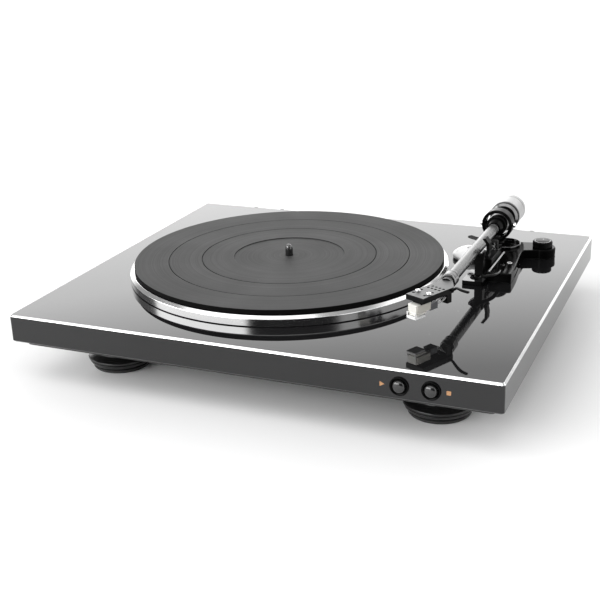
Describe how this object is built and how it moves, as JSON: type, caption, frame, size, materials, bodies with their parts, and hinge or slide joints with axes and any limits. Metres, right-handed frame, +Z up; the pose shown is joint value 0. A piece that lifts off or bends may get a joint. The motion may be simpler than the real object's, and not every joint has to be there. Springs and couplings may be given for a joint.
{
  "type": "turntable record player",
  "caption": "Low black record turntable: belt-driven platter with rubber mat, straight tonearm with counterweight and cartridge, front push buttons and round feet.",
  "frame": {"origin": "on the table under the middle of the plinth, at the bottom of the feet", "axes": "+X to the right along the front, +Y to the back, +Z up"},
  "size_m": [0.434, 0.376, 0.1069],
  "materials": {
    "deck_gloss": "very glossy black deck with polished edges and dark satin sides",
    "case_plastic": "fine-textured black moulding",
    "foot_gloss": "satin black moulding",
    "foot_rubber": "matt black",
    "steel": "plain steel",
    "brass": "turned",
    "belt_rubber": "smooth",
    "board": "green laminate",
    "arm_gloss": "glossy black",
    "arm_plastic": "satin black",
    "arm_rubber": "ribbed black",
    "chrome": "polished",
    "platter_metal": "polished, with fine turning marks",
    "mat_rubber": "matt with moulded grooves",
    "gear_nylon": "natural",
    "arm_metal": "satin silver",
    "shell_metal": "satin grey",
    "cartridge_ivory": "smooth",
    "grey_plastic": "smooth",
    "white_plastic": "smooth",
    "weight_metal": "fine satin light grey",
    "button_metal": "glossy grey"
  },
  "bodies": {
    "base": {"cabinet": "deck_gloss", "bottom_cover": "case_plastic", "foot_front_left": "foot_gloss", "foot_front_right": "foot_gloss", "foot_rear_left": "foot_gloss", "foot_rear_right": "foot_gloss", "foot_pad_front_left": "foot_rubber", "foot_pad_front_right": "foot_rubber", "foot_pad_rear_left": "foot_rubber", "foot_pad_rear_right": "foot_rubber", "bearing_housing": "steel", "bearing_sleeve": "brass", "motor": "steel", "motor_plate": "steel", "drive_belt": "belt_rubber", "circuit_board": "board", "start_bezel": "arm_gloss", "stop_bezel": "arm_gloss", "start_switch": "case_plastic", "stop_switch": "case_plastic", "arm_base": "arm_gloss", "arm_base_ring": "chrome", "lift_housing": "arm_plastic", "arm_rest": "arm_plastic", "hinge_socket_left": "case_plastic", "hinge_socket_right": "case_plastic", "power_gland": "case_plastic", "signal_gland": "case_plastic"},
    "platter_body": {"platter": "platter_metal", "platter_mat": "mat_rubber", "spindle": "steel", "hub_pinion": "gear_nylon"},
    "pulley_body": {"motor_pulley": "brass"},
    "cycle_gear_body": {"cycle_gear": "gear_nylon"},
    "start_button_body": {"start_button": "button_metal"},
    "stop_button_body": {"stop_button": "button_metal"},
    "arm_swing_body": {"arm_yoke": "arm_gloss", "arm_shaft": "steel", "pivot_screw_left": "chrome", "pivot_screw_right": "chrome"},
    "arm_body": {"bearing_block": "arm_metal", "arm_tube": "arm_metal", "rear_shaft": "chrome", "headshell": "shell_metal", "finger_lift": "arm_plastic", "cartridge": "cartridge_ivory", "cartridge_screw_left": "chrome", "cartridge_screw_right": "chrome", "terminal_block": "grey_plastic", "stylus_holder": "cartridge_ivory"},
    "collar_body": {"locking_collar": "chrome"},
    "guard_body": {"stylus_guard": "white_plastic"},
    "weight_body": {"counterweight": "weight_metal"},
    "dial_body": {"force_dial": "arm_plastic"},
    "anti_skate_body": {"anti_skate_knob": "arm_gloss"},
    "lever_body": {"lift_lever": "arm_gloss"},
    "lift_bar_body": {"lift_bar": "arm_rubber"},
    "clip_body": {"arm_clip": "arm_plastic"},
    "adapter_body": {"adapter_45": "white_plastic"}
  },
  "joints": [
    {"name": "platter_spin", "type": "hinge", "parent": "base", "child": "platter_body", "pos_m": [-0.0336, 0.0028, 0.07], "axis": [0, 0, -1], "continuous": true},
    {"name": "pulley_spin", "type": "hinge", "parent": "base", "child": "pulley_body", "pos_m": [-0.11704, 0.08624, 0.066], "axis": [0, 0, -1], "continuous": true},
    {"name": "cycle_gear_turn", "type": "hinge", "parent": "base", "child": "cycle_gear_body", "pos_m": [-0.0081, -0.04137, 0.066], "axis": [0, 0, 1], "continuous": true},
    {"name": "start_press", "type": "slide", "parent": "base", "child": "start_button_body", "axis": [0, 1, 0], "range_m": [0, 0.0025], "stiffness_N_per_m": 300, "springref_m": -0.0015},
    {"name": "stop_press", "type": "slide", "parent": "base", "child": "stop_button_body", "axis": [0, 1, 0], "range_m": [0, 0.0025], "stiffness_N_per_m": 300, "springref_m": -0.0015},
    {"name": "arm_swing", "type": "hinge", "parent": "base", "child": "arm_swing_body", "pos_m": [0.1404, 0.104, 0.0923], "axis": [0, 0, -1], "range_deg": [0, 45]},
    {"name": "arm_lift", "type": "hinge", "parent": "arm_swing_body", "child": "arm_body", "pos_m": [0.1404, 0.104, 0.0923], "axis": [-1, 0, 0], "range_deg": [0, 8]},
    {"name": "collar_turn", "type": "hinge", "parent": "arm_body", "child": "collar_body", "pos_m": [0.1404, -0.061, 0.0923], "axis": [0, 1, 0], "range_deg": [0, 75]},
    {"name": "guard_flip", "type": "hinge", "parent": "arm_body", "child": "guard_body", "pos_m": [0.12555, -0.11839, 0.0819], "axis": [-0.91, 0.4147, 0], "range_deg": [0, 150]},
    {"name": "weight_travel", "type": "slide", "parent": "arm_body", "child": "weight_body", "axis": [0, 1, 0], "range_m": [-0.004, 0.008]},
    {"name": "dial_turn", "type": "hinge", "parent": "weight_body", "child": "dial_body", "pos_m": [0.1404, 0.129, 0.0923], "axis": [0, 1, 0], "range_deg": [-500, 1000]},
    {"name": "anti_skate_turn", "type": "hinge", "parent": "base", "child": "anti_skate_body", "pos_m": [0.1825, 0.1085, 0.075], "axis": [0, 0, 1], "range_deg": [0, 270]},
    {"name": "lift_lever_tilt", "type": "hinge", "parent": "base", "child": "lever_body", "pos_m": [0.1747, 0.044, 0.069], "axis": [1, 0, 0], "range_deg": [0, 6]},
    {"name": "lift_bar_drop", "type": "slide", "parent": "base", "child": "lift_bar_body", "axis": [0, 0, 1], "range_m": [-0.004, 0]},
    {"name": "arm_clip_close", "type": "hinge", "parent": "base", "child": "clip_body", "pos_m": [0.1506, 0.025, 0.0865], "axis": [0, -1, 0], "range_deg": [0, 26]},
    {"name": "adapter_take_off", "type": "slide", "parent": "base", "child": "adapter_body", "axis": [0, 0, 1], "range_m": [0, 0.007]}
  ],
  "couplings": [
    {"joint": "pulley_spin", "follows": "platter_spin", "ratio": 14.984},
    {"joint": "lift_bar_drop", "follows": "lift_lever_tilt", "m_per_rad": -0.0381},
    {"joint": "dial_turn", "follows": "weight_travel", "rad_per_m": 2094.4}
  ]
}
